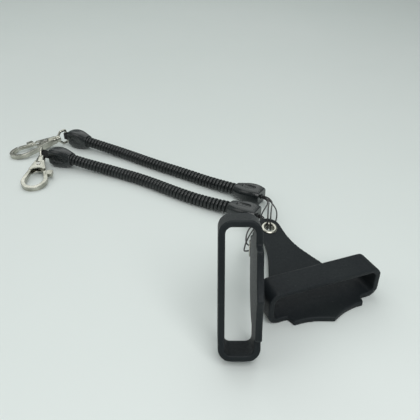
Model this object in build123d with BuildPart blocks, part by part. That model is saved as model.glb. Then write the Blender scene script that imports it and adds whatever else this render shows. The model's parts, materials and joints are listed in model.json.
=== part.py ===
"""A pair of coiled safety tethers, each a swivel snap hook, a coiled cord and a silicone sleeve.

The front tether's sleeve stands on one end; the rear tether's sleeve lies on its plate.
Millimetres, +Z up. The origin is the middle of the lying sleeve's underside; the table is z = 0.
"""

import os
from math import cos, pi, radians, sin, tan

from build123d import *

os.makedirs("parts", exist_ok=True)

# Silicone sleeve: a band that the rod or handle goes through, on a bat-shaped plate
BAND_L = 60.0
BAND_H = 17.6
BAND_CORNER = 5.6
FRONT_RIM = -6.0
BACK_RIM = 7.2
BAND_DEPTH = BACK_RIM - FRONT_RIM
WALL = 2.8
EYELET_Y = 53.4
WING_ROOT = 20.0
TIP_R = 7.0
CUSP_X = 18.7
CUSP_Y = -10.3
CENTRE_CUSP_Y = -14.8
FLAP_ROOT = 20.0

# Eyelet pressed into the plate's tip
EYELET_BORE_R = 2.4
EYELET_TUBE_R = 2.95
EYELET_HOLE_R = 3.0
EYELET_FLANGE_R = 4.5
EYELET_FLANGE_T = 0.5

# Coiled tether and its end caps
COIL_R = 4.0
CAP_L = 18.5
CAP_WIDE = 14.0
CAP_THICK = 10.5
MOUTH_R = 1.7
MOUTH_DEEP = 5.0
LOOP_R = 0.4
CRIMP_PROUD = 0.45

# Strap between cap and bail
STRAP_L = {"front": 8.6, "rear": 5.7}
STRAP_W = 5.0
STRAP_T = 0.9
STRAP_EYE_R = 1.45

# Snap hook, measured from the swivel plane towards the ring's tip
BAIL_L = 9.5
BAIL_HALF_W = 5.2
BAIL_WIRE_R = 0.95
BOSS_R = 2.7
POST_R = 1.4
POST_HEAD_R = 1.9
SWIVEL_GAP = 0.3
COLLAR_R = 3.2
COLLAR_L = 6.0
NECK_U = 3.0
NECK_HALF_W = 3.2
SIDE_END_U = 24.0
SIDE_END_HALF_W = 8.6
PLATE_T = 4.6
RING_CENTRE = 27.0
RING_A = 10.5
RING_B = 9.0
EYE_A = 7.6
EYE_B = 6.2
ARCH_U = 17.3
ARCH_R = 4.5
ARCH_END_U = 25.5
ARCH_END_HALF_W = 6.05
RING_T = 3.2
PIVOT_X = 8.0
PIN_R = 1.0
SLOT_HALF = 1.25
HUB_R = 8.6
GATE_ROOT_R = 9.0
GATE_END_R = 21.9
NOSE_R = 22.3
TAB_U = 18.3
TAB_V = 9.0
TAB_L = 5.2
TAB_W = 4.6
FIT = 0.05

# Where the cords run: each coil from its hook to its sleeve, each loop from the cap and back
COIL_ROUTES = {
    "front": (
        (-154.3, 144.8, 7.0),
        (-142.6, 140.0, 5.6),
        (-122.5, 131.6, 4.3),
        (-97.0, 117.2, 4.1),
        (-76.0, 101.3, 4.1),
        (-57.0, 88.4, 4.2),
        (-39.6, 79.1, 5.25),
    ),
    "rear": (
        (-149.5, 177.4, 7.0),
        (-137.4, 171.8, 5.6),
        (-119.0, 161.5, 4.3),
        (-93.0, 142.4, 4.1),
        (-70.0, 127.2, 4.1),
        (-50.5, 112.9, 4.2),
        (-34.7, 102.5, 5.25),
    ),
}

LOOP_ROUTES = {
    "rear_loop_left": (
        (-18.6, 92.22, 4.75),
        (-16.4, 90.6, 4.7),
        (-15.7, 87.0, 5.2),
        (-16.6, 79.6, 7.4),
        (-18.6, 72.6, 9.6),
        (-21.0, 65.8, 10.8),
        (-22.9, 60.4, 10.0),
        (-23.0, 56.2, 7.0),
        (-21.9, 52.2, 4.6),
        (-20.2, 49.5, 6.4),
        (-19.9, 49.9, 10.6),
        (-19.6, 53.2, 14.2),
        (-18.7, 61.0, 15.4),
        (-17.0, 71.5, 12.0),
        (-15.6, 80.5, 8.6),
        (-15.5, 86.8, 6.5),
        (-16.3, 90.4, 5.8),
        (-18.6, 92.22, 5.75),
    ),
    "rear_loop_right": (
        (-18.08, 93.08, 4.75),
        (-15.2, 91.3, 4.7),
        (-13.9, 87.2, 5.1),
        (-12.6, 79.5, 6.6),
        (-11.9, 72.0, 7.8),
        (-12.6, 64.5, 8.0),
        (-14.6, 57.8, 6.2),
        (-16.8, 52.8, 4.5),
        (-18.2, 49.6, 6.4),
        (-18.3, 50.0, 10.6),
        (-18.0, 53.2, 14.0),
        (-16.9, 61.0, 15.2),
        (-15.0, 71.5, 11.8),
        (-13.6, 80.5, 8.4),
        (-13.9, 87.0, 6.5),
        (-15.2, 91.2, 5.8),
        (-18.08, 93.08, 5.75),
    ),
    "front_loop_upper": (
        (-23.23, 69.26, 5.75),
        (-21.1, 67.7, 5.8),
        (-21.6, 64.0, 5.9),
        (-25.8, 58.6, 6.8),
        (-30.0, 50.5, 9.2),
        (-32.3, 41.0, 12.2),
        (-33.4, 32.6, 14.5),
        (-33.6, 27.0, 14.9),
        (-30.2, 25.4, 14.4),
        (-26.9, 26.0, 14.2),
        (-26.0, 31.5, 14.0),
        (-27.2, 40.5, 12.0),
        (-28.3, 49.5, 9.6),
        (-24.9, 56.8, 7.4),
        (-20.4, 63.2, 6.2),
        (-19.9, 67.8, 5.8),
        (-22.73, 70.13, 5.75),
    ),
    "front_loop_lower": (
        (-23.23, 69.26, 4.75),
        (-21.2, 67.6, 4.7),
        (-21.8, 63.9, 4.6),
        (-26.0, 58.3, 4.7),
        (-30.2, 49.0, 4.9),
        (-32.8, 39.4, 6.6),
        (-34.1, 32.0, 8.2),
        (-34.5, 27.2, 10.4),
        (-33.5, 24.9, 12.1),
        (-29.9, 24.9, 12.8),
        (-27.1, 25.6, 11.9),
        (-26.4, 31.0, 10.4),
        (-27.4, 40.5, 8.2),
        (-28.4, 49.5, 6.0),
        (-25.0, 56.6, 4.9),
        (-20.5, 63.1, 4.5),
        (-20.0, 67.7, 4.6),
        (-22.73, 70.13, 4.75),
    ),
}

HOOKS = {
    "front": {"heading": 157.5, "hook": 276.5, "face": 1},
    "rear": {"heading": 149.0, "hook": 217.0, "face": -1},
}
HOOK_DROP = 6.7
SLEEVE_END_HEADING = {"front": -29.5, "rear": -31.0}



def seat(frame, plane):
    """The plane as it lies in the piece's own frame."""
    return Plane(frame * plane)


def save(part, label):
    """Label a finished piece and write it."""
    part.label = label
    export_step(part, f"parts/{label}.step")


def lying_plane(yaw):
    """The frame of a sleeve lying on its plate, turned by yaw."""
    return Plane(
        origin=(0, 0, 0),
        x_dir=(cos(radians(yaw)), sin(radians(yaw)), 0),
        z_dir=(0, 0, 1),
    )


def standing_plane(x, y, lean):
    """The frame of a sleeve standing on its end, with its plate's underside facing +X."""
    up = Vector(0, sin(radians(lean)), cos(radians(lean)))
    back = Vector(0, cos(radians(lean)), -sin(radians(lean)))
    lowest = BAND_L / 2 * up.Z - BACK_RIM * back.Z
    return Plane(
        origin=(x + BAND_H / 2, y, lowest),
        x_dir=tuple(up),
        z_dir=(-1, 0, 0),
    )


def wing_height(y, rise):
    """How far the plate has bent away from flat at a distance y behind the band's middle."""
    beyond = max(0.0, (y - BACK_RIM) / (EYELET_Y - BACK_RIM))
    return rise * beyond**1.5


def eyelet_plane(frame, rise):
    """The plane of the plate's underside at the eyelet, square to the bent plate."""
    slope = 1.5 * rise / (EYELET_Y - BACK_RIM)
    normal = Vector(0, -slope, 1).normalized()
    return seat(
        frame,
        Plane(origin=(0, EYELET_Y, wing_height(EYELET_Y, rise)), x_dir=(1, 0, 0), z_dir=tuple(normal)),
    )


def make_sleeve(label, frame, rise):
    """One silicone moulding: bent bat-shaped plate with its scalloped flap, and the band on it."""
    stations = [BACK_RIM + step * (EYELET_Y + TIP_R + 3 - BACK_RIM) / 6 for step in range(7)]
    under = [(y, wing_height(y, rise)) for y in stations]
    over = [(y, wing_height(y, rise) + WALL) for y in reversed(stations)]
    with BuildPart() as sleeve:
        with BuildSketch(seat(frame, Plane.YZ)):
            with BuildLine():
                Polyline(
                    (stations[0], 0),
                    (CENTRE_CUSP_Y - 2, 0),
                    (CENTRE_CUSP_Y - 2, WALL),
                    (stations[0], WALL),
                )
                Spline(*under)
                Spline(*over)
                Line(under[-1], over[0])
            make_face()
        extrude(amount=BAND_L, both=True)
        with BuildSketch(seat(frame, Plane.XY.offset(-30))):
            for side in (1, -1):
                with BuildLine():
                    edge = Spline(
                        (side * WING_ROOT, BACK_RIM),
                        (side * 13.2, 27.0),
                        (side * 9.3, 36.0),
                        (side * TIP_R, EYELET_Y),
                        tangents=((-side * 0.15, 1), (0, 1)),
                    )
                    RadiusArc(edge @ 1, (0, EYELET_Y + TIP_R), -side * TIP_R)
                    Polyline((0, EYELET_Y + TIP_R), (0, CENTRE_CUSP_Y))
                    ThreePointArc(
                        (0, CENTRE_CUSP_Y),
                        (side * 0.55 * CUSP_X, -11.0),
                        (side * CUSP_X, CUSP_Y),
                    )
                    Polyline((side * CUSP_X, CUSP_Y), (side * FLAP_ROOT, FRONT_RIM), edge @ 0)
                make_face()
        extrude(amount=80, mode=Mode.INTERSECT)
        with BuildSketch(seat(frame, Plane.XZ.offset(-BACK_RIM))):
            with Locations((0, BAND_H / 2)):
                RectangleRounded(BAND_L, BAND_H, BAND_CORNER)
        extrude(amount=BAND_DEPTH)
        with BuildSketch(seat(frame, Plane.XZ.offset(-BACK_RIM - 1))):
            with Locations((0, BAND_H / 2)):
                RectangleRounded(BAND_L - 2 * WALL, BAND_H - 2 * WALL, BAND_CORNER - WALL)
        extrude(amount=BAND_DEPTH + 2, mode=Mode.SUBTRACT)
        with BuildSketch(eyelet_plane(frame, rise).offset(-3)):
            Circle(EYELET_HOLE_R)
        extrude(amount=10, mode=Mode.SUBTRACT)
    save(sleeve.part, label)


def make_eyelet(prefix, frame, rise):
    """The flanged tube, and the washer that its end is rolled over."""
    plane = eyelet_plane(frame, rise)
    top = WALL + 0.1
    with BuildPart() as flange:
        with BuildSketch(plane.offset(top)):
            Circle(EYELET_FLANGE_R)
            Circle(EYELET_BORE_R, mode=Mode.SUBTRACT)
        extrude(amount=EYELET_FLANGE_T)
        with BuildSketch(plane.offset(-0.9)):
            Circle(EYELET_TUBE_R)
            Circle(EYELET_BORE_R, mode=Mode.SUBTRACT)
        extrude(amount=top + 0.9)
    save(flange.part, f"{prefix}_eyelet")
    with BuildPart() as washer:
        with BuildSketch(plane.offset(-0.1)):
            Circle(EYELET_FLANGE_R)
            Circle(EYELET_TUBE_R + FIT, mode=Mode.SUBTRACT)
        extrude(amount=-EYELET_FLANGE_T)
    save(washer.part, f"{prefix}_eyelet_washer")


def cord_path(points, share=0.45):
    """Straight runs joined by arcs as large as the two runs beside each corner allow."""
    corners = [Vector(*point) for point in points]
    radii = []
    for before, corner, after in zip(corners, corners[1:], corners[2:]):
        turn = radians((corner - before).get_angle(after - corner))
        run = min((corner - before).length, (after - corner).length)
        radii.append(share * run / tan(turn / 2))
    return corners, radii


def make_tube(label, points, radius):
    """A plain cord solid, with its radii and volume printed."""
    corners, radii = cord_path(points)
    with BuildPart() as tube:
        with BuildLine():
            path = FilletPolyline(*corners, radius=radii)
        with BuildSketch(Plane(origin=path @ 0, z_dir=path % 0)):
            Circle(radius)
        sweep(path=path)
    ideal = pi * radius**2 * path.length
    print(label, "length", round(path.length, 1), "radii", [round(r, 1) for r in radii])
    print(label, "volume over section times length", round(tube.part.volume / ideal, 4))
    save(tube.part, label)


def make_cap(label, end, heading, wide_up, mouth):
    """A flattened barrel over the coil's end, with an oblong recess on each wide side."""
    axis = Vector(cos(radians(heading)), sin(radians(heading)), 0)
    wide = Vector(0, 0, 1) if wide_up else Vector(-axis.Y, axis.X, 0)
    frame = Plane(origin=end, x_dir=tuple(wide), z_dir=tuple(axis))
    sections = (
        (0.0, 9.6, 9.0, 4.3),
        (4.5, CAP_WIDE - 1.4, CAP_THICK - 0.6, 4.2),
        (9.0, CAP_WIDE, CAP_THICK, 3.4),
        (15.0, CAP_WIDE - 0.6, CAP_THICK - 0.4, 3.0),
        (CAP_L, 11.6, 8.8, 2.8),
    )
    with BuildPart() as cap:
        for along, width, thick, corner in sections:
            with BuildSketch(frame.offset(along)):
                RectangleRounded(width, thick, corner)
        loft()
        for side in (1, -1):
            with BuildSketch(
                seat(
                    frame,
                    Plane(
                        origin=(0, side * (CAP_THICK / 2 - 0.9), 9.0),
                        x_dir=(0, 0, 1),
                        z_dir=(0, side, 0),
                    ),
                )
            ):
                SlotOverall(9.5, 3.4)
            extrude(amount=3, mode=Mode.SUBTRACT)
        if mouth:
            with BuildSketch(frame.offset(CAP_L - MOUTH_DEEP)):
                Circle(MOUTH_R)
            extrude(amount=MOUTH_DEEP + 1, mode=Mode.SUBTRACT)
    save(cap.part, label)
    return end + axis * CAP_L, axis


def make_crimp(label, mouth, axis):
    """The ferrule in the cap's mouth that grips the four strands of the two loops."""
    frame = Plane(origin=mouth, z_dir=tuple(axis))
    with BuildPart() as crimp:
        with BuildSketch(frame.offset(-MOUTH_DEEP)):
            Circle(MOUTH_R - FIT)
        extrude(amount=MOUTH_DEEP + CRIMP_PROUD)
        fillet(crimp.edges().group_by(SortBy.LENGTH)[-1], 0.25)
    save(crimp.part, label)


def make_strap(label, mouth, axis, length):
    """The short tape that leaves the cap, goes round the bail's bar and returns."""
    frame = Plane(origin=mouth, x_dir=tuple(axis), z_dir=(0, 0, 1))
    with BuildPart() as strap:
        with BuildSketch(frame.offset(-STRAP_W / 2)):
            with BuildLine():
                outer = STRAP_EYE_R + STRAP_T
                FilletPolyline(
                    (0, 1.6),
                    (length - 2.5, outer),
                    (length + outer, outer),
                    (length + outer, -outer),
                    (length - 2.5, -outer),
                    (0, -1.6),
                    radius=[0.6, 2.2, 2.2, 0.6],
                )
                Line((0, -1.6), (0, 1.6))
            make_face()
            with Locations((length, 0)):
                Circle(STRAP_EYE_R, mode=Mode.SUBTRACT)
        extrude(amount=STRAP_W)
    save(strap.part, label)
    return mouth + axis * length


def hook_frames(bar, heading, drop, face):
    """The bail's frame and the hook's frame: x towards the tip, z square to each one's flat."""
    level = Vector(cos(radians(heading)), sin(radians(heading)), 0)
    axis = level * cos(radians(drop)) - Vector(0, 0, 1) * sin(radians(drop))
    across = Vector(-level.Y, level.X, 0)
    square = axis.cross(across) * face
    swivel = bar + axis * BAIL_L
    bail = Plane(origin=swivel, x_dir=tuple(axis), z_dir=tuple(across))
    hook = Plane(origin=swivel, x_dir=tuple(axis), z_dir=tuple(square))
    return bail, hook


def make_bail(prefix, frame):
    """The wire D that the strap holds, with the boss that carries the swivel post."""
    corners = (
        (-BAIL_L, BAIL_HALF_W),
        (-5.2, BAIL_HALF_W),
        (-1.7, 1.2),
        (-1.7, -1.2),
        (-5.2, -BAIL_HALF_W),
        (-BAIL_L, -BAIL_HALF_W),
    )
    with BuildPart() as bail:
        with BuildLine(frame):
            loop = FilletPolyline(*corners, radius=1.1, close=True)
        with BuildSketch(Plane(origin=loop @ 0, z_dir=loop % 0)):
            Circle(BAIL_WIRE_R)
        sweep(path=loop)
        with BuildSketch(seat(frame, Plane.YZ.offset(-3.4))):
            Circle(BOSS_R)
        extrude(amount=3.4 - SWIVEL_GAP / 2)
        with BuildSketch(seat(frame, Plane.YZ.offset(-5))):
            Circle(POST_R)
        extrude(amount=6, mode=Mode.SUBTRACT)
    save(bail.part, f"{prefix}_bail")
    with BuildPart() as post:
        with BuildSketch(seat(frame, Plane.YZ.offset(-3.4))):
            Circle(POST_R)
        extrude(amount=7.2)
        with BuildSketch(seat(frame, Plane.YZ.offset(3.8))):
            Circle(POST_HEAD_R)
        extrude(amount=1.0)
        with BuildSketch(seat(frame, Plane.YZ.offset(-3.4))):
            Circle(POST_R + 0.2)
        extrude(amount=-0.5)
    save(post.part, f"{prefix}_swivel_post")


def pear_outline():
    """The snap hook's outline from its neck to its tip."""
    with BuildSketch() as outline:
        with BuildLine():
            Polyline(
                (NECK_U, -NECK_HALF_W),
                (SIDE_END_U, -SIDE_END_HALF_W),
                (SIDE_END_U, SIDE_END_HALF_W),
                (NECK_U, NECK_HALF_W),
                (NECK_U, -NECK_HALF_W),
            )
        make_face()
        with Locations((RING_CENTRE, 0)):
            Ellipse(RING_A, RING_B)
    return outline.sketch


def eye_outline():
    """The eye: an ellipse that narrows to an arch towards the pivot."""
    with BuildSketch() as outline:
        with Locations((RING_CENTRE, 0)):
            Ellipse(EYE_A, EYE_B)
        with Locations((ARCH_U, 0)):
            Circle(ARCH_R)
        with BuildLine():
            Polyline(
                (ARCH_U, -ARCH_R),
                (ARCH_END_U, -ARCH_END_HALF_W),
                (ARCH_END_U, ARCH_END_HALF_W),
                (ARCH_U, ARCH_R),
                (ARCH_U, -ARCH_R),
            )
        make_face()
    return outline.sketch


def make_hook(prefix, frame):
    """The cast body: collar, cheeks at the pivot and open pear-shaped ring, slotted for the gate."""
    pear = pear_outline()
    eye = eye_outline()
    with BuildPart() as hook:
        with BuildSketch(frame.offset(-PLATE_T / 2)):
            add(pear)
            add(eye, mode=Mode.SUBTRACT)
            with Locations((PIVOT_X, 0)):
                Circle(HUB_R, mode=Mode.INTERSECT)
        extrude(amount=PLATE_T)
        with BuildSketch(frame.offset(-RING_T / 2)):
            add(pear)
            add(eye, mode=Mode.SUBTRACT)
            with BuildLine():
                Polyline((PIVOT_X, 0.2), (40, 0.2), (40, 12), (PIVOT_X, 12), (PIVOT_X, 0.2))
            make_face(mode=Mode.SUBTRACT)
        extrude(amount=RING_T)
        with BuildSketch(frame.offset(-RING_T / 2)):
            add(pear)
            add(eye, mode=Mode.SUBTRACT)
            with Locations((PIVOT_X, 0)):
                Circle(NOSE_R, mode=Mode.SUBTRACT)
        extrude(amount=RING_T)
        with BuildSketch(seat(frame, Plane.YZ.offset(SWIVEL_GAP / 2))):
            Circle(COLLAR_R)
        extrude(amount=COLLAR_L)
        with BuildSketch(seat(frame, Plane.YZ)):
            Circle(POST_R + FIT)
        extrude(amount=4.0, mode=Mode.SUBTRACT)
        with BuildSketch(seat(frame, Plane.YZ.offset(3.6))):
            Circle(POST_HEAD_R + 0.15)
        extrude(amount=1.5, mode=Mode.SUBTRACT)
        with BuildSketch(frame.offset(-SLOT_HALF)):
            with BuildLine():
                Polyline(
                    (PIVOT_X - 2.4, 0),
                    (PIVOT_X - 2.4, 9),
                    (25, 9),
                    (25, -4.2),
                    (PIVOT_X + 5.0, -4.2),
                    (PIVOT_X + 2.4, -2.6),
                )
                ThreePointArc(
                    (PIVOT_X + 2.4, -2.6),
                    (PIVOT_X, -3.0),
                    (PIVOT_X - 2.4, 0),
                )
            make_face()
            with Locations((PIVOT_X, 0)):
                Circle(HUB_R + 0.3, mode=Mode.INTERSECT)
        extrude(amount=2 * SLOT_HALF, mode=Mode.SUBTRACT)
        with BuildSketch(frame.offset(-PLATE_T)):
            with Locations((PIVOT_X, 0)):
                Circle(PIN_R + 0.02)
        extrude(amount=2 * PLATE_T, mode=Mode.SUBTRACT)
    save(hook.part, f"{prefix}_hook_body")


def make_gate(prefix, frame):
    """The gate with its web and thumb tab, its pivot pin and its return spring."""
    web_low = -0.05
    web_t = 1.15
    pear = pear_outline()
    eye = eye_outline()
    with BuildPart() as gate:
        with BuildSketch(frame.offset(-1.2)):
            add(pear)
            add(eye, mode=Mode.SUBTRACT)
            with Locations((PIVOT_X, 0)):
                Circle(GATE_END_R, mode=Mode.INTERSECT)
                Circle(GATE_ROOT_R, mode=Mode.SUBTRACT)
            with BuildLine():
                Polyline((PIVOT_X, 0), (PIVOT_X + 30, 30 * tan(radians(8))), (PIVOT_X, 40), (PIVOT_X, 0))
            make_face(mode=Mode.INTERSECT)
        extrude(amount=2.4)
        with BuildSketch(frame.offset(web_low)):
            with Locations((PIVOT_X, 0)):
                Circle(2.0)
            with BuildLine():
                Polyline(
                    (PIVOT_X + 1.0, -1.6),
                    (PIVOT_X + 9.5, 4.8),
                    (PIVOT_X + 8.6, 6.3),
                    (PIVOT_X + 5.4, 5.0),
                    (PIVOT_X - 1.3, 1.5),
                    (PIVOT_X + 1.0, -1.6),
                )
            make_face()
        extrude(amount=web_t)
        with BuildSketch(frame.offset(-1.4)):
            with Locations((TAB_U, TAB_V)):
                RectangleRounded(TAB_L, TAB_W, 1.0)
        extrude(amount=2.8)
        with BuildSketch(frame.offset(-2)):
            with Locations((PIVOT_X, 0)):
                Circle(PIN_R + FIT)
        extrude(amount=4, mode=Mode.SUBTRACT)
    save(gate.part, f"{prefix}_gate")
    with BuildPart() as pin:
        with BuildSketch(frame.offset(-PLATE_T / 2)):
            with Locations((PIVOT_X, 0)):
                Circle(PIN_R)
        extrude(amount=PLATE_T)
        for side in (1, -1):
            with BuildSketch(frame.offset(side * PLATE_T / 2)):
                with Locations((PIVOT_X, 0)):
                    Circle(1.5)
            extrude(amount=side * 0.4)
    save(pin.part, f"{prefix}_gate_pin")
    with BuildPart() as spring:
        with BuildSketch(frame.offset(-1.15)):
            with Locations((PIVOT_X, 0)):
                Circle(1.8)
                Circle(1.2, mode=Mode.SUBTRACT)
        extrude(amount=0.9)
        for start, finish, level in (((0.2, 1.5), (6.0, 3.2), -0.55), ((0.2, -1.5), (4.2, -1.5), -0.9)):
            run = Vector(finish[0] - start[0], finish[1] - start[1], 0)
            leg = Plane(origin=(PIVOT_X + start[0], start[1], level), z_dir=tuple(run))
            with BuildSketch(seat(frame, leg)):
                Circle(0.22)
            extrude(amount=run.length)
    save(spring.part, f"{prefix}_gate_spring")


SLEEVES = (
    ("rear", lying_plane(21.0), 7.6),
    ("front", standing_plane(-40.55, -25.3, 18.8), -3.0),
)

for prefix, frame, rise in SLEEVES:
    make_sleeve(f"{prefix}_sleeve", frame, rise)
    make_eyelet(prefix, frame, rise)

for prefix in ("front", "rear"):
    route = COIL_ROUTES[prefix]
    make_tube(f"{prefix}_coil", route, COIL_R)
    mouth, axis = make_cap(
        f"{prefix}_sleeve_cap", Vector(*route[-1]), SLEEVE_END_HEADING[prefix], False, True
    )
    make_crimp(f"{prefix}_loop_crimp", mouth, axis)
    mouth, axis = make_cap(
        f"{prefix}_hook_cap", Vector(*route[0]), HOOKS[prefix]["heading"], True, False
    )
    bar = make_strap(f"{prefix}_strap", mouth, axis, STRAP_L[prefix])
    bail, hook = hook_frames(bar, HOOKS[prefix]["hook"], HOOK_DROP, HOOKS[prefix]["face"])
    make_bail(prefix, bail)
    make_hook(prefix, hook)
    make_gate(prefix, hook)

for label, route in LOOP_ROUTES.items():
    make_tube(label, route, LOOP_R)
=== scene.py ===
"""Looks for a pair of coiled safety tethers with silicone sleeves and swivel snap hooks.

Metres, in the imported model's frame: +Z up, the table at z = 0, the viewer on the -Y side.
"""

import json
from math import cos, pi, radians, sin

import bmesh
import bpy
import numpy as np
from mathutils import Matrix, Vector

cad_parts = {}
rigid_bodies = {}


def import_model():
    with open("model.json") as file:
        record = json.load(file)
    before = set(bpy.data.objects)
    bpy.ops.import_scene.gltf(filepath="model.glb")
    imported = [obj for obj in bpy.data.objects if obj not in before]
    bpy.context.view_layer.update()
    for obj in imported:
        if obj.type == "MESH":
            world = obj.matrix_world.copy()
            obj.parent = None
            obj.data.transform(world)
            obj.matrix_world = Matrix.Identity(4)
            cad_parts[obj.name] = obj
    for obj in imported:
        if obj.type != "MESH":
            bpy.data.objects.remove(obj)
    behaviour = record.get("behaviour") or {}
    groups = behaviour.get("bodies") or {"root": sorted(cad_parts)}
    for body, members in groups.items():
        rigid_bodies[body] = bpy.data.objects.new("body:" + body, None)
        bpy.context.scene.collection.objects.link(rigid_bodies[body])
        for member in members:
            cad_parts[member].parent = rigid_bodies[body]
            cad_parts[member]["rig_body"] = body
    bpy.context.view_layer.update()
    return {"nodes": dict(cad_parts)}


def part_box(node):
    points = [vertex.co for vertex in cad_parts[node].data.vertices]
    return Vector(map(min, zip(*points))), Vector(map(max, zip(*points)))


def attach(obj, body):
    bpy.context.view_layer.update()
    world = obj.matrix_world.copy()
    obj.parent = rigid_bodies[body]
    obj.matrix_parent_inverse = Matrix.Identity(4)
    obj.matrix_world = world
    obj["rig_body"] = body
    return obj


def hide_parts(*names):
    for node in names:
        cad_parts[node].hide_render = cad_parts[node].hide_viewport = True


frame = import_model()
scene = bpy.context.scene
nodes_of = frame["nodes"]
MM = 0.001

# Camera: its place, its tilt from straight down, and its lens
CAMERA_AT = Vector((-52.45, -172.33, 159.22)) * MM
CAMERA_TILT = radians(58.252)
CAMERA_LENS = 40.449
SENSOR = 36.0

# Coiled strand: wire and helix, in millimetres
WIRE_R = 1.2
COIL_OUTER_R = 4.0
COIL_PITCH = 2.66
TURN_POINTS = 12
COIL_TUCK = 2.4
PITCH_DRIFT = 0.09
RADIUS_DRIFT = 0.05

# How fast the coil's small irregularities come and go, in radians a winding point
SLOW_DRIFT = 0.041
QUICK_DRIFT = 0.113
SQUEEZE_DRIFT = 0.23

LOOP_R = 0.4
WALL = 2.8
CAP_L = 18.5

# Strap: a tape of threads from inside the cap round the bail's bar
STRAP_W = 5.0
STRAP_T = 0.9
STRAP_EYE_AT = {"front": 8.6, "rear": 5.7}
STRAP_BEND_R = 2.19
STRAP_ROWS = 180
STRAP_THREADS = 20
STRAP_RIB = 0.035
STRAP_INSET = 0.06
SELVEDGE_FROM = 0.88
SELVEDGE_THINNING = 0.75
HOOK_END_HEADING = {"front": 157.5, "rear": 149.0}

# Eyelet: the gap its rolled flange leaves over the plate, and how finely it is spun
FLANGE_GAP = 0.38
SPUN_SEGMENTS = 72

FLOOR_REACH = 6.0

COIL_ROUTES = {
    "front": (
        (-154.3, 144.8, 7.0),
        (-142.6, 140.0, 5.6),
        (-122.5, 131.6, 4.3),
        (-97.0, 117.2, 4.1),
        (-76.0, 101.3, 4.1),
        (-57.0, 88.4, 4.2),
        (-39.6, 79.1, 5.25),
    ),
    "rear": (
        (-149.5, 177.4, 7.0),
        (-137.4, 171.8, 5.6),
        (-119.0, 161.5, 4.3),
        (-93.0, 142.4, 4.1),
        (-70.0, 127.2, 4.1),
        (-50.5, 112.9, 4.2),
        (-34.7, 102.5, 5.25),
    ),
}

LOOP_ROUTES = {
    "rear_loop_left": (
        (-18.6, 92.22, 4.75),
        (-16.4, 90.6, 4.7),
        (-15.7, 87.0, 5.2),
        (-16.6, 79.6, 7.4),
        (-18.6, 72.6, 9.6),
        (-21.0, 65.8, 10.8),
        (-22.9, 60.4, 10.0),
        (-23.0, 56.2, 7.0),
        (-21.9, 52.2, 4.6),
        (-20.2, 49.5, 6.4),
        (-19.9, 49.9, 10.6),
        (-19.6, 53.2, 14.2),
        (-18.7, 61.0, 15.4),
        (-17.0, 71.5, 12.0),
        (-15.6, 80.5, 8.6),
        (-15.5, 86.8, 6.5),
        (-16.3, 90.4, 5.8),
        (-18.6, 92.22, 5.75),
    ),
    "rear_loop_right": (
        (-18.08, 93.08, 4.75),
        (-15.2, 91.3, 4.7),
        (-13.9, 87.2, 5.1),
        (-12.6, 79.5, 6.6),
        (-11.9, 72.0, 7.8),
        (-12.6, 64.5, 8.0),
        (-14.6, 57.8, 6.2),
        (-16.8, 52.8, 4.5),
        (-18.2, 49.6, 6.4),
        (-18.3, 50.0, 10.6),
        (-18.0, 53.2, 14.0),
        (-16.9, 61.0, 15.2),
        (-15.0, 71.5, 11.8),
        (-13.6, 80.5, 8.4),
        (-13.9, 87.0, 6.5),
        (-15.2, 91.2, 5.8),
        (-18.08, 93.08, 5.75),
    ),
    "front_loop_upper": (
        (-23.23, 69.26, 5.75),
        (-21.1, 67.7, 5.8),
        (-21.6, 64.0, 5.9),
        (-25.8, 58.6, 6.8),
        (-30.0, 50.5, 9.2),
        (-32.3, 41.0, 12.2),
        (-33.4, 32.6, 14.5),
        (-33.6, 27.0, 14.9),
        (-30.2, 25.4, 14.4),
        (-26.9, 26.0, 14.2),
        (-26.0, 31.5, 14.0),
        (-27.2, 40.5, 12.0),
        (-28.3, 49.5, 9.6),
        (-24.9, 56.8, 7.4),
        (-20.4, 63.2, 6.2),
        (-19.9, 67.8, 5.8),
        (-22.73, 70.13, 5.75),
    ),
    "front_loop_lower": (
        (-23.23, 69.26, 4.75),
        (-21.2, 67.6, 4.7),
        (-21.8, 63.9, 4.6),
        (-26.0, 58.3, 4.7),
        (-30.2, 49.0, 4.9),
        (-32.8, 39.4, 6.6),
        (-34.1, 32.0, 8.2),
        (-34.5, 27.2, 10.4),
        (-33.5, 24.9, 12.1),
        (-29.9, 24.9, 12.8),
        (-27.1, 25.6, 11.9),
        (-26.4, 31.0, 10.4),
        (-27.4, 40.5, 8.2),
        (-28.4, 49.5, 6.0),
        (-25.0, 56.6, 4.9),
        (-20.5, 63.1, 4.5),
        (-20.0, 67.7, 4.6),
        (-22.73, 70.13, 4.75),
    ),
}


# ---------------------------------------------------------------- camera

def make_camera():
    """The camera, and the scene's choice of it."""
    data = bpy.data.cameras.new("camera")
    data.lens = CAMERA_LENS
    data.sensor_width = SENSOR
    data.clip_start = 0.01
    camera = bpy.data.objects.new("camera", data)
    camera.location = CAMERA_AT
    camera.rotation_euler = (CAMERA_TILT, 0, 0)
    scene.collection.objects.link(camera)
    scene.camera = camera


# ---------------------------------------------------------------- lines and meshes

def spline_data(name, points, resolution):
    """A smooth curve with these points, in millimetres, as its control points."""
    data = bpy.data.curves.new(name, "CURVE")
    data.dimensions = "3D"
    data.resolution_u = resolution
    spline = data.splines.new("NURBS")
    spline.points.add(len(points) - 1)
    for point, place in zip(spline.points, points):
        point.co = (*(Vector(place) * MM), 1)
    spline.order_u = 3
    spline.use_endpoint_u = True
    return data


def line_of(points, resolution=24):
    """The places that a smooth curve with these control points passes through."""
    bare = bpy.data.objects.new("bare", spline_data("bare", points, resolution))
    mesh = bpy.data.meshes.new_from_object(bare)
    line = [v.co.copy() for v in mesh.vertices]
    bpy.data.curves.remove(bare.data)
    bpy.data.meshes.remove(mesh)
    return line


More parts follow.
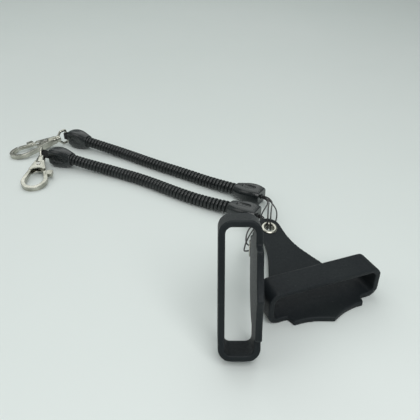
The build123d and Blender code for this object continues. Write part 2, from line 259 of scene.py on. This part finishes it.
def along(line, count):
    """That many places evenly along a line, each with its tangent and two steady side directions."""
    table = np.array([tuple(p) for p in line])
    steps = np.linalg.norm(np.diff(table, axis=0), axis=1)
    run = np.concatenate([[0.0], np.cumsum(steps)])
    marks = np.linspace(0.0, run[-1], count)
    places = [Vector([np.interp(s, run, table[:, k]) for k in range(3)]) for s in marks]
    side = Vector((0, 0, 1))
    rows = []
    for i, place in enumerate(places):
        tangent = (places[min(i + 1, count - 1)] - places[max(i - 1, 0)]).normalized()
        side = (side - tangent * side.dot(tangent)).normalized()
        rows.append((place, tangent, side, tangent.cross(side)))
    return rows


def length_of(line):
    """A line's length in metres."""
    return sum((b - a).length for a, b in zip(line, line[1:]))


def add_object(name, data):
    """A new object in the scene."""
    piece = bpy.data.objects.new(name, data)
    scene.collection.objects.link(piece)
    return piece


def add_mesh(name, verts, faces):
    """A smooth-shaded mesh piece from its points and faces."""
    mesh = bpy.data.meshes.new(name)
    mesh.from_pydata(verts, [], faces)
    mesh.update()
    for polygon in mesh.polygons:
        polygon.use_smooth = True
    return add_object(name, mesh)


def settle(piece):
    """Put a piece's modifiers into its mesh."""
    graph = bpy.context.evaluated_depsgraph_get()
    done = bpy.data.meshes.new_from_object(piece.evaluated_get(graph))
    piece.modifiers.clear()
    old = piece.data
    piece.data = done
    bpy.data.meshes.remove(old)
    for polygon in piece.data.polygons:
        polygon.use_smooth = True


def ring_faces(rows, columns, closed_rows=False):
    """Quads of a grid whose columns close on themselves, and its rows too if asked."""
    faces = []
    for i in range(rows if closed_rows else rows - 1):
        for j in range(columns):
            a = i * columns + j
            b = i * columns + (j + 1) % columns
            c = ((i + 1) % rows) * columns
            faces.append((a, b, c + (j + 1) % columns, c + j))
    return faces


# ---------------------------------------------------------------- materials

class Paint:
    """One procedural material, built round its Principled shader."""

    def __init__(self, name):
        self.material = bpy.data.materials.new(name)
        self.material.use_nodes = True
        self.tree = self.material.node_tree
        self.shader = self.tree.nodes["Principled BSDF"]
        self.coords = self.tree.nodes.new("ShaderNodeTexCoord")
        self.heights = []

    def node(self, kind, **settings):
        """A new shader node with these settings."""
        made = self.tree.nodes.new("ShaderNode" + kind)
        for key, value in settings.items():
            setattr(made, key, value)
        return made

    def join(self, source, target):
        """Link an output to an input."""
        self.tree.links.new(source, target)

    def fix(self, **values):
        """Numbers and colours that are the same all over."""
        for key, value in values.items():
            self.shader.inputs[key.replace("_", " ")].default_value = value

    def noise(self, scale, detail, roughness=0.55, stretch=None):
        """Noise of about 1/scale metres a feature."""
        made = self.node("TexNoise")
        made.inputs["Scale"].default_value = scale
        made.inputs["Detail"].default_value = detail
        made.inputs["Roughness"].default_value = roughness
        place = self.coords.outputs["Object"]
        if stretch:
            mapping = self.node("Mapping")
            mapping.inputs["Scale"].default_value = stretch
            self.join(place, mapping.inputs["Vector"])
            place = mapping.outputs["Vector"]
        self.join(place, made.inputs["Vector"])
        return made.outputs["Fac"]

    def remap(self, value, low, high, to_low=0.0, to_high=1.0):
        """The range from low to high stretched over another range."""
        made = self.node("MapRange")
        made.inputs["From Min"].default_value = low
        made.inputs["From Max"].default_value = high
        made.inputs["To Min"].default_value = to_low
        made.inputs["To Max"].default_value = to_high
        self.join(value, made.inputs["Value"])
        return made.outputs["Result"]

    def math(self, operation, first, second):
        """One operation on two values, each a number or a node's output."""
        made = self.node("Math", operation=operation)
        for socket, value in zip(made.inputs, (first, second)):
            if isinstance(value, (int, float)):
                socket.default_value = value
            else:
                self.join(value, socket)
        return made.outputs["Value"]

    def blend(self, share, first, second):
        """A colour between two, by share."""
        made = self.node("Mix", data_type="RGBA")
        self.join(share, made.inputs["Factor"])
        for socket, value in ((made.inputs["A"], first), (made.inputs["B"], second)):
            if isinstance(value, tuple):
                socket.default_value = (*value, 1.0)
            else:
                self.join(value, socket)
        return made.outputs["Result"]

    def colour(self, value):
        """The base colour."""
        self.join(value, self.shader.inputs["Base Color"])

    def gloss(self, value, low, high):
        """Roughness between low and high, by a noise value."""
        self.join(self.remap(value, 0.3, 0.7, low, high), self.shader.inputs["Roughness"])

    def relief(self, value, depth):
        """Raise the surface by up to depth metres."""
        made = self.node("Bump")
        made.inputs["Distance"].default_value = depth
        made.inputs["Strength"].default_value = 1.0
        self.join(value, made.inputs["Height"])
        if self.heights:
            self.join(self.heights[-1], made.inputs["Normal"])
        self.heights.append(made.outputs["Normal"])
        self.join(made.outputs["Normal"], self.shader.inputs["Normal"])

    def edges(self, low, high):
        """From 0 on flats to 1 on sharp convex edges."""
        geometry = self.node("NewGeometry")
        return self.remap(geometry.outputs["Pointiness"], low, high)


def rubber(name):
    """Moulded silicone: slate black, matte with a soft sheen, a little dust and paler worn edges."""
    paint = Paint(name)
    tone = paint.remap(paint.noise(34.0, 2.0), 0.35, 0.65)
    base = paint.blend(tone, (0.0060, 0.0088, 0.0115), (0.0095, 0.0135, 0.0150))
    worn = paint.math("MULTIPLY", paint.edges(0.505, 0.56), 0.45)
    base = paint.blend(worn, base, (0.026, 0.031, 0.034))
    specks = paint.remap(paint.noise(2300.0, 1.0), 0.735, 0.80)
    base = paint.blend(specks, base, (0.08, 0.085, 0.085))
    paint.colour(base)
    paint.gloss(paint.noise(900.0, 4.0), 0.46, 0.62)
    paint.relief(paint.noise(210.0, 2.0), 0.00016)
    paint.relief(paint.noise(3800.0, 2.0), 0.000035)
    paint.fix(Specular_IOR_Level=0.23, Sheen_Weight=0.04, Sheen_Roughness=0.45)
    return paint.material


def strand_plastic(name):
    """Extruded polyurethane strand: near black, semi-gloss, drawn lengthways, with rubbed crests."""
    paint = Paint(name)
    tone = paint.remap(paint.noise(70.0, 3.0), 0.35, 0.65)
    base = paint.blend(tone, (0.0060, 0.0080, 0.0085), (0.0105, 0.0135, 0.0140))
    rubbed = paint.remap(paint.noise(420.0, 4.0), 0.56, 0.74, 0.0, 0.5)
    base = paint.blend(rubbed, base, (0.026, 0.031, 0.031))
    paint.colour(base)
    paint.gloss(paint.noise(650.0, 4.0), 0.26, 0.44)
    paint.relief(paint.noise(1700.0, 3.0), 0.00003)
    paint.fix(Specular_IOR_Level=0.5, Coat_Weight=0.12, Coat_Roughness=0.22)
    return paint.material


def cap_plastic(name):
    """Moulded caps: cool black, half gloss, with scuffs on the raised edges."""
    paint = Paint(name)
    tone = paint.remap(paint.noise(110.0, 3.0), 0.35, 0.65)
    base = paint.blend(tone, (0.0085, 0.0115, 0.0120), (0.0140, 0.0175, 0.0185))
    worn = paint.math("MULTIPLY", paint.edges(0.51, 0.57), 0.6)
    base = paint.blend(worn, base, (0.060, 0.063, 0.068))
    paint.colour(base)
    paint.gloss(paint.noise(520.0, 5.0), 0.17, 0.31)
    paint.relief(paint.noise(420.0, 3.0), 0.00007)
    paint.relief(paint.noise(2600.0, 2.0), 0.00002)
    paint.fix(Specular_IOR_Level=0.5, Coat_Weight=0.2, Coat_Roughness=0.25)
    return paint.material


# Metres between the straight bands of a wave texture of scale 1
BAND_SPACING = 0.314


def woven(name, fibre, gap, pitch, depth):
    """Crossed threads along and across a cord or tape, with a matte fuzz."""
    paint = Paint(name)
    place = paint.coords.outputs["Object"]
    threads = []
    for direction in ("DIAGONAL", "Z"):
        wave = paint.node("TexWave", bands_direction=direction, wave_profile="SIN")
        wave.inputs["Scale"].default_value = BAND_SPACING / pitch
        wave.inputs["Distortion"].default_value = 0.6
        wave.inputs["Detail"].default_value = 1.0
        paint.join(place, wave.inputs["Vector"])
        threads.append(wave.outputs["Fac"])
    weave = paint.math("MULTIPLY", threads[0], threads[1])
    fuzz = paint.noise(1 / pitch * 1.7, 4.0)
    paint.colour(paint.blend(paint.math("MULTIPLY", weave, fuzz), gap, fibre))
    paint.gloss(fuzz, 0.62, 0.85)
    paint.relief(weave, depth)
    paint.relief(fuzz, depth * 0.4)
    paint.fix(Sheen_Weight=0.25, Sheen_Roughness=0.5, Specular_IOR_Level=0.3)
    return paint.material


def plated(name, bright, dull, smooth, rough, cast_depth):
    """Plated metal: warm silver with cloudy tarnish, fine scratches and a faint cast ripple."""
    paint = Paint(name)
    cloud = paint.remap(paint.noise(160.0, 4.0), 0.35, 0.68)
    base = paint.blend(cloud, bright, dull)
    pits = paint.remap(paint.noise(2100.0, 2.0), 0.70, 0.78, 0.0, 0.7)
    base = paint.blend(pits, base, tuple(c * 0.35 for c in dull))
    paint.colour(base)
    scratches = paint.noise(900.0, 5.0, 0.6, stretch=(1.0, 0.12, 0.5))
    paint.gloss(scratches, smooth, rough)
    paint.relief(paint.noise(330.0, 2.0), cast_depth)
    paint.relief(scratches, 0.000012)
    paint.fix(Metallic=1.0)
    return paint.material


def drawn_steel(name, tone, rough_low, rough_high):
    """Bare drawn steel for pins and springs, with lengthways draw marks."""
    paint = Paint(name)
    marks = paint.noise(1500.0, 4.0, 0.6, stretch=(0.2, 1.0, 1.0))
    dark = tuple(c * 0.62 for c in tone)
    paint.colour(paint.blend(marks, dark, tone))
    paint.gloss(marks, rough_low, rough_high)
    paint.relief(marks, 0.00001)
    paint.fix(Metallic=1.0)
    return paint.material


def table_top(name):
    """A pale matte table with barely visible unevenness."""
    paint = Paint(name)
    tone = paint.remap(paint.noise(2.2, 2.0), 0.3, 0.7)
    paint.colour(paint.blend(tone, (0.735, 0.785, 0.765), (0.765, 0.805, 0.790)))
    paint.gloss(paint.noise(40.0, 2.0), 0.5, 0.6)
    paint.fix(Specular_IOR_Level=0.3)
    return paint.material


FINISH = {
    "silicone": rubber("silicone"),
    "coil_plastic": strand_plastic("coil_plastic"),
    "cap_plastic": cap_plastic("cap_plastic"),
    "loop_cord": woven("loop_cord", (0.030, 0.032, 0.032), (0.007, 0.008, 0.008), 0.00022, 0.00003),
    "strap": woven("strap", (0.034, 0.034, 0.038), (0.008, 0.008, 0.009), 0.0005, 0.00006),
    "ferrule": cap_plastic("ferrule"),
    "nickel": plated("nickel", (0.56, 0.55, 0.49), (0.32, 0.315, 0.27), 0.11, 0.26, 0.00004),
    "eyelet_nickel": plated("eyelet_nickel", (0.62, 0.61, 0.55), (0.44, 0.43, 0.37), 0.14, 0.28, 0.00002),
    "steel_pin": drawn_steel("steel_pin", (0.62, 0.61, 0.58), 0.18, 0.34),
    "spring_steel": drawn_steel("spring_steel", (0.45, 0.45, 0.44), 0.22, 0.40),
}


def finish_piece(piece, body, slot):
    """Give a new piece its body and its material."""
    piece.data.materials.clear()
    piece.data.materials.append(FINISH[slot])
    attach(piece, body)


# ---------------------------------------------------------------- cords

def make_coil(prefix):
    """The strand wound round its route, both ends tucked into the caps."""
    route = line_of(COIL_ROUTES[prefix])
    tuck = COIL_TUCK * MM
    route.insert(0, route[0] + (route[0] - route[1]).normalized() * tuck)
    route.append(route[-1] + (route[-1] - route[-2]).normalized() * tuck)
    turns = round(length_of(route) / (COIL_PITCH * MM))
    rows = along(route, turns * TURN_POINTS + 1)
    wound = []
    for i, (place, tangent, side, other) in enumerate(rows):
        angle = 2 * pi * i / TURN_POINTS
        drift = sin(i * SLOW_DRIFT) * PITCH_DRIFT + sin(i * QUICK_DRIFT + 1.0) * PITCH_DRIFT / 3
        squeeze = RADIUS_DRIFT * (0.5 + 0.5 * sin(i * SQUEEZE_DRIFT))
        radius = COIL_OUTER_R - WIRE_R - squeeze
        radius *= MM / cos(pi / TURN_POINTS)
        out = side * cos(angle) - other * sin(angle)
        wound.append((place + out * radius + tangent * drift * MM) / MM)
    data = spline_data(f"{prefix}_coiled_strand", wound, 3)
    data.bevel_depth = WIRE_R * MM
    data.bevel_resolution = 4
    data.use_fill_caps = True
    coil = add_object(f"{prefix}_coiled_strand", data)
    finish_piece(coil, "tethers", "coil_plastic")
    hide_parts(f"{prefix}_coil")
    strand = length_of(line_of(wound, 3))
    print(prefix, "coil turns", turns, "strand metres", round(strand, 3))


def make_loop(label):
    """One thin cord loop: out of the ferrule, through the eyelet and back."""
    points = LOOP_ROUTES[label]
    data = spline_data(f"{label}_cord", points, 12)
    data.bevel_depth = LOOP_R * MM
    data.bevel_resolution = 3
    data.use_fill_caps = True
    loop = add_object(f"{label}_cord", data)
    finish_piece(loop, "tethers", "loop_cord")
    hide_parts(label)
    cut = length_of(line_of(points))
    print(label, "metres", round(cut, 4))


# ---------------------------------------------------------------- moulded and cast pieces

def softened(node, name, voxel, passes, slot):
    """A piece moulded or cast to a CAD node's form, with every edge eased as a mould leaves it."""
    source = nodes_of[node]
    mesh = source.data.copy()
    work = bmesh.new()
    work.from_mesh(mesh)
    bmesh.ops.remove_doubles(work, verts=work.verts, dist=1e-6)
    work.to_mesh(mesh)
    work.free()
    piece = add_object(name, mesh)
    grid = piece.modifiers.new("grid", "REMESH")
    grid.mode = "VOXEL"
    grid.voxel_size = voxel * MM
    ease = piece.modifiers.new("ease", "SMOOTH")
    ease.factor = 0.5
    ease.iterations = passes
    settle(piece)
    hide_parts(node)
    finish_piece(piece, source["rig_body"], slot)


def disc_frame(node, towards):
    """The frame of a flat round CAD node: its middle, with z along its axis to the side of towards."""
    table = np.array([tuple(v.co) for v in nodes_of[node].data.vertices])
    axes = np.linalg.svd(table - table.mean(0), full_matrices=False)[2]
    spans = (table @ axes.T).min(0), (table @ axes.T).max(0)
    middle = Vector(((spans[0] + spans[1]) / 2) @ axes)
    up = Vector(axes[2])
    if up.dot(towards - middle) < 0:
        up.negate()
    side = up.orthogonal().normalized()
    turn = Matrix((side, up.cross(side), up)).transposed()
    return Matrix.Translation(middle) @ turn.to_4x4()


def turned(name, place, outline):
    """A closed outline of (radius, height) in millimetres, spun about the frame's z."""
    verts = []
    for k in range(SPUN_SEGMENTS):
        angle = 2 * pi * k / SPUN_SEGMENTS
        for radius, height in outline:
            spot = Vector((radius * cos(angle), radius * sin(angle), height)) * MM
            verts.append(place @ spot)
    piece = add_mesh(name, verts, ring_faces(SPUN_SEGMENTS, len(outline), closed_rows=True))
    smooth = piece.modifiers.new("smooth", "SUBSURF")
    smooth.levels = 1
    smooth.render_levels = 1
    settle(piece)
    return piece


def make_eyelet(prefix):
    """The rolled eyelet and its washer, spun to the section a setting punch leaves."""
    low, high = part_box(f"{prefix}_eyelet")
    place = disc_frame(f"{prefix}_eyelet_washer", (low + high) / 2)
    top = WALL + FLANGE_GAP
    flange = (
        (2.94, 0.0),
        (2.94, top),
        (4.3, top),
        (4.5, top + 0.08),
        (4.52, top + 0.24),
        (4.3, top + 0.48),
        (3.8, top + 0.68),
        (3.3, top + 0.70),
        (2.85, top + 0.54),
        (2.55, top + 0.20),
        (2.42, top - FLANGE_GAP),
        (2.4, 0.4),
        (2.42, -0.2),
        (2.6, -0.6),
        (2.95, -0.72),
        (3.3, -0.6),
        (3.32, -0.4),
        (3.02, -0.34),
    )
    washer = (
        (3.02, 0.22),
        (4.3, 0.22),
        (4.5, 0.1),
        (4.46, -0.12),
        (4.2, -0.26),
        (3.5, -0.32),
        (3.34, -0.24),
        (3.04, -0.2),
    )
    for label, outline in (("eyelet", flange), ("eyelet_washer", washer)):
        piece = turned(f"{prefix}_{label}_rolled", place, outline)
        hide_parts(f"{prefix}_{label}")
        finish_piece(piece, f"{prefix}_sleeve", "eyelet_nickel")


def make_strap(prefix):
    """A woven tape out of the cap, round the bail's bar and back into the cap."""
    heading = radians(HOOK_END_HEADING[prefix])
    ahead = Vector((cos(heading), sin(heading), 0))
    across = Vector((-sin(heading), cos(heading), 0))
    mouth = Vector(COIL_ROUTES[prefix][0]) + ahead * CAP_L
    eye_at = STRAP_EYE_AT[prefix]
    half = [(-3.0, 0.9), (0.5, 0.95), (eye_at - 3.2, 1.35)]
    bend = [
        (eye_at + STRAP_BEND_R * cos(radians(a)), STRAP_BEND_R * sin(radians(a)))
        for a in (120, 60, 0, -60, -120)
    ]
    flat = half + bend + [(u, -v) for u, v in reversed(half)]
    line = line_of([mouth + ahead * u + across * v for u, v in flat], 16)
    section = []
    for face in (1, -1):
        for k in range(STRAP_THREADS + 1):
            share = face * (2 * k / STRAP_THREADS - 1)
            round_off = max(0.0, abs(share) - SELVEDGE_FROM) / (1 - SELVEDGE_FROM)
            section.append((share, face * (1 - SELVEDGE_THINNING * round_off**2)))
    up = Vector((0, 0, 1))
    verts = []
    for i, (place, tangent, _, _) in enumerate(along(line, STRAP_ROWS)):
        out = tangent.cross(up).normalized()
        for share, face in section:
            rib = STRAP_RIB * cos(pi * (i / 2 + (share + 1) * STRAP_THREADS / 2))
            thick = (STRAP_T / 2 - STRAP_INSET) * face + (rib if face > 0 else -rib)
            verts.append(place + (out * thick + up * share * STRAP_W / 2) * MM)
    piece = add_mesh(f"{prefix}_strap_tape", verts, ring_faces(STRAP_ROWS, len(section)))
    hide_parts(f"{prefix}_strap")
    finish_piece(piece, "tethers", "strap")


# ---------------------------------------------------------------- stage

def make_stage():
    """A pale table that runs on past the view."""
    corners = [(x * FLOOR_REACH, y * FLOOR_REACH, 0) for x, y in ((-1, -1), (1, -1), (1, 1), (-1, 1))]
    floor = add_mesh("table_top", corners, [(0, 1, 2, 3)])
    floor.data.materials.append(table_top("table_top"))


def area_light(name, place, target, size, power, tint):
    """A square soft light aimed at a place."""
    data = bpy.data.lights.new(name, "AREA")
    data.size = size
    data.energy = power
    data.color = tint
    lamp = add_object(name, data)
    lamp.location = place
    aim = Vector(target) - Vector(place)
    lamp.rotation_euler = aim.to_track_quat("-Z", "Y").to_euler()


def make_light():
    """Soft daylight from above and behind, a weak fill in front and an even pale surround.

    The view transform is the plain one, so that the blacks stay as dark as the materials make them.
    """
    middle = (-0.08, 0.08, 0.0)
    area_light("sky_panel", (-0.25, 0.75, 1.15), middle, 1.6, 9.0, (0.97, 1.0, 0.985))
    area_light("side_panel", (-1.1, -0.15, 0.8), middle, 0.8, 2.0, (1.0, 0.99, 0.97))
    area_light("front_fill", (0.10, -0.45, 0.62), (-0.06, 0.02, 0.0), 0.6, 3.75, (1.0, 1.0, 1.0))
    world = bpy.data.worlds.new("surround")
    world.use_nodes = True
    background = world.node_tree.nodes["Background"]
    background.inputs["Color"].default_value = (0.88, 0.97, 0.95, 1.0)
    background.inputs["Strength"].default_value = 0.22
    scene.world = world
    scene.view_settings.view_transform = "Standard"


# ---------------------------------------------------------------- build

# CAD node, name of its softened copy, voxel in millimetres, smoothing passes, slot
MOULDED = (
    ("sleeve", "sleeve_moulding", 0.42, 7, "silicone"),
    ("hook_cap", "cap_at_hook", 0.26, 5, "cap_plastic"),
    ("sleeve_cap", "cap_at_sleeve", 0.26, 5, "cap_plastic"),
    ("loop_crimp", "loop_ferrule", 0.12, 3, "ferrule"),
    ("hook_body", "hook_casting", 0.16, 14, "nickel"),
    ("gate", "gate_casting", 0.14, 7, "nickel"),
    ("bail", "bail_wire", 0.14, 3, "nickel"),
)

# CAD nodes shown as they are, with their slots
KEPT = (
    ("swivel_post", "steel_pin"),
    ("gate_pin", "steel_pin"),
    ("gate_spring", "spring_steel"),
)

make_camera()
for prefix in ("front", "rear"):
    for node, label, voxel, passes, slot in MOULDED:
        softened(f"{prefix}_{node}", f"{prefix}_{label}", voxel, passes, slot)
    make_coil(prefix)
    make_eyelet(prefix)
    make_strap(prefix)
    for node, slot in KEPT:
        kept = nodes_of[f"{prefix}_{node}"]
        kept.data.materials.clear()
        kept.data.materials.append(FINISH[slot])
for label in LOOP_ROUTES:
    make_loop(label)
make_stage()
make_light()
